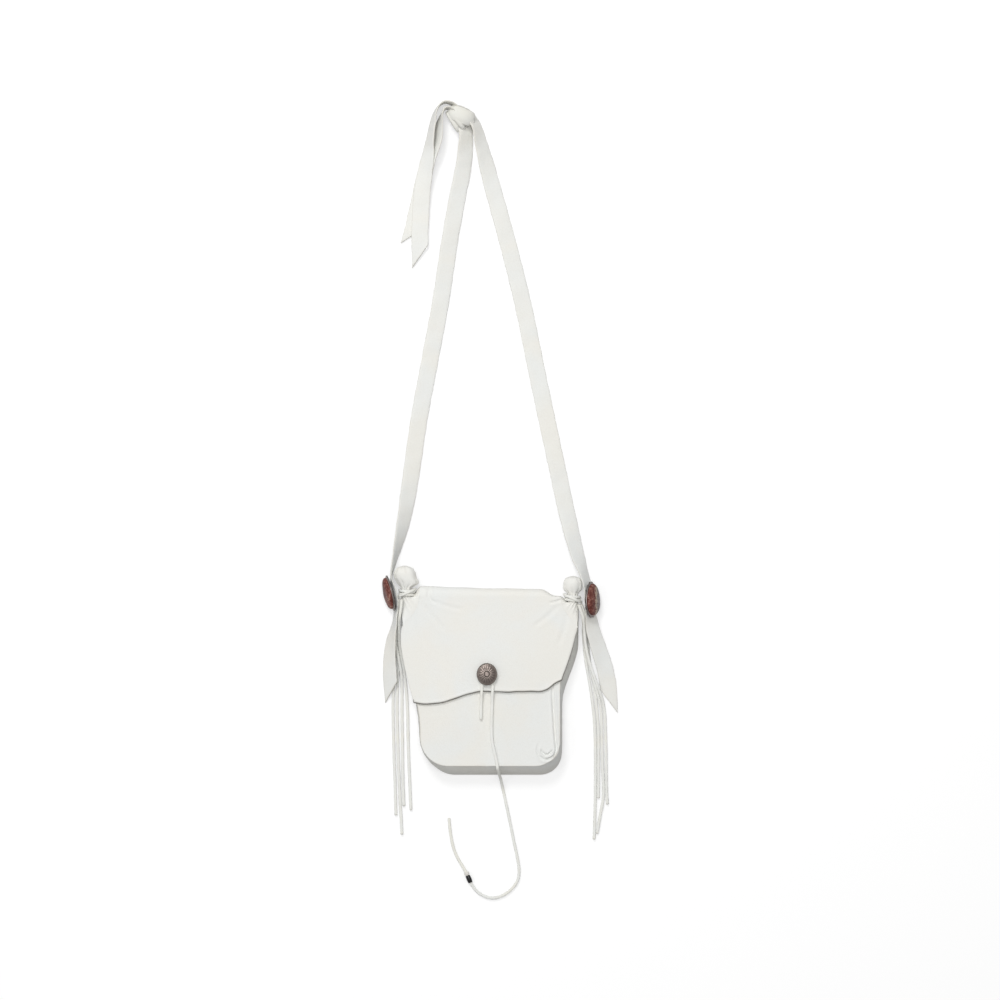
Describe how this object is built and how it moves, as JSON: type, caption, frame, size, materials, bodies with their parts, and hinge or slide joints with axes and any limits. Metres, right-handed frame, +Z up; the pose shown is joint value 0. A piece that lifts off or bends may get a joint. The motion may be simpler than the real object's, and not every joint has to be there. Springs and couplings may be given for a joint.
{
  "type": "deerskin shoulder bag",
  "caption": "White deerskin shoulder pouch with a fold-over flap, gathered corners, fringe laces, knotted straps, a domed silver button and a tie lace with beads.",
  "frame": {"origin": "on the underside of the back panel, below the middle of the pouch's opening side", "axes": "+Z up, out of the pouch's front; +Y from the pouch towards the straps' knot; +X across the pouch, to the right as seen from the front"},
  "size_m": [0.2909, 0.9585, 0.0381],
  "materials": {
    "white_deerskin": "soft brain-tanned deerskin, suede-like and matt",
    "gusset_hide": "the same hide, seen on its side wall",
    "white_strap": "soft deerskin strap, folded double, matt",
    "white_lace": "cut deerskin lace, matt",
    "old_silver": "worn and darkened silver dome",
    "dark_silver": "darkened silver plate with a scalloped edge",
    "red_brown_stone": "polished mottled red-brown stone with pale veins",
    "black_bead": "glossy black bead",
    "silver_bead": "small worn silver bead"
  },
  "bodies": {
    "pouch": {"back_panel": "white_deerskin", "front_panel": "white_deerskin", "gusset": "gusset_hide", "shoulder_left": "white_deerskin", "shoulder_right": "white_deerskin", "ear_left": "white_deerskin", "ear_right": "white_deerskin", "binding_left": "white_lace", "binding_right": "white_lace", "fringe_left_1": "white_lace", "fringe_left_2": "white_lace", "fringe_left_3": "white_lace", "fringe_left_4": "white_lace", "fringe_right_1": "white_lace", "fringe_right_2": "white_lace", "fringe_right_3": "white_lace", "fringe_right_4": "white_lace", "ornament_backing_left": "dark_silver", "ornament_backing_right": "dark_silver", "ornament_stone_left": "red_brown_stone", "ornament_stone_right": "red_brown_stone", "strap_left": "white_strap", "strap_right": "white_strap", "strap_knot": "white_strap", "knot_tail_long": "white_strap", "knot_tail_short": "white_strap"},
    "flap": {"flap_fold": "white_deerskin", "flap": "white_deerskin", "silver_button": "old_silver", "tie_lace_long": "white_lace", "tie_lace_short": "white_lace", "bead_black": "black_bead", "bead_white": "silver_bead"}
  },
  "joints": [
    {"name": "flap_hinge", "type": "hinge", "parent": "pouch", "child": "flap", "pos_m": [0, 0.1, 0.0096], "axis": [-1, 0, 0], "range_deg": [0, 110], "deforming": ["flap_fold"]}
  ]
}
